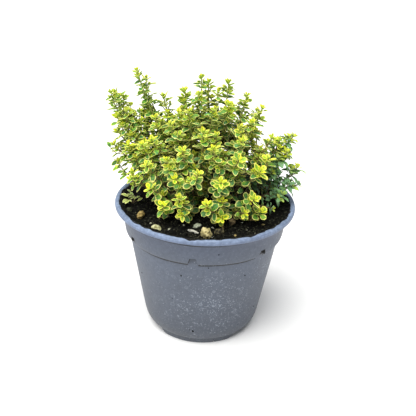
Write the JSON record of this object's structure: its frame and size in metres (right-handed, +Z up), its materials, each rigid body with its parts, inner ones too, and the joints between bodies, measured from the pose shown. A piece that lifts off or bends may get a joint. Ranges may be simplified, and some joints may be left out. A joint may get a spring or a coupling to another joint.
{
  "type": "potted lemon thyme",
  "caption": "Bushy variegated lemon thyme growing in a filled, tapered plastic nursery pot with a rolled rim; stands on its foot.",
  "frame": {"origin": "on the pot's axis, at the level of the surface that the pot stands on", "axes": "+Z up along the pot's axis, -Y towards the front of the picture's view, +X to its right"},
  "size_m": [0.1411, 0.13, 0.1951],
  "materials": {
    "pot_plastic": "injection-moulded slate blue-grey polypropylene, dusty, with pale scuffs and lime specks",
    "potting_soil": "damp dark peat with fibres, crumbly",
    "tan_stone": "rough porous grit",
    "dark_stone": "rough dark grit",
    "pale_stone": "chalky perlite and pale grit",
    "pale_bark": "bleached bark fibre",
    "variegated_foliage": "small semi-matt leaves, green in the middle with cream to yellow margins, on thin olive stems",
    "green_foliage": "small semi-matt plain green leaves on thin olive stems"
  },
  "bodies": {
    "root": {"pot": "pot_plastic", "soil": "potting_soil", "pumice_lump": "tan_stone", "dark_stone": "dark_stone", "bark_sliver": "pale_bark", "perlite_lump": "pale_stone", "pale_stone": "pale_stone", "ochre_lump": "tan_stone", "mossy_lump": "dark_stone", "tan_stone": "tan_stone", "brown_stone": "tan_stone", "variegated_stem_01": "variegated_foliage", "variegated_stem_02": "variegated_foliage", "variegated_stem_03": "variegated_foliage", "variegated_stem_04": "variegated_foliage", "variegated_stem_05": "variegated_foliage", "variegated_stem_06": "variegated_foliage", "variegated_stem_07": "variegated_foliage", "variegated_stem_08": "variegated_foliage", "variegated_stem_09": "variegated_foliage", "variegated_stem_10": "variegated_foliage", "variegated_stem_11": "variegated_foliage", "variegated_stem_12": "variegated_foliage", "variegated_stem_13": "variegated_foliage", "variegated_stem_14": "variegated_foliage", "variegated_stem_15": "variegated_foliage", "variegated_stem_16": "variegated_foliage", "variegated_stem_17": "variegated_foliage", "variegated_stem_18": "variegated_foliage", "variegated_stem_19": "variegated_foliage", "variegated_stem_20": "variegated_foliage", "variegated_stem_21": "variegated_foliage", "variegated_stem_22": "variegated_foliage", "variegated_stem_23": "variegated_foliage", "variegated_stem_24": "variegated_foliage", "variegated_stem_25": "variegated_foliage", "variegated_stem_26": "variegated_foliage", "variegated_stem_27": "variegated_foliage", "variegated_stem_28": "variegated_foliage", "variegated_stem_29": "variegated_foliage", "variegated_stem_30": "variegated_foliage", "variegated_stem_31": "variegated_foliage", "variegated_stem_32": "variegated_foliage", "variegated_stem_33": "variegated_foliage", "variegated_stem_34": "variegated_foliage", "variegated_stem_35": "variegated_foliage", "variegated_stem_36": "variegated_foliage", "variegated_stem_37": "variegated_foliage", "variegated_stem_38": "variegated_foliage", "variegated_stem_39": "variegated_foliage", "variegated_stem_40": "variegated_foliage", "variegated_stem_41": "variegated_foliage", "green_stem_01": "green_foliage", "green_stem_02": "green_foliage", "green_stem_03": "green_foliage", "seedling": "green_foliage"}
  },
  "joints": []
}
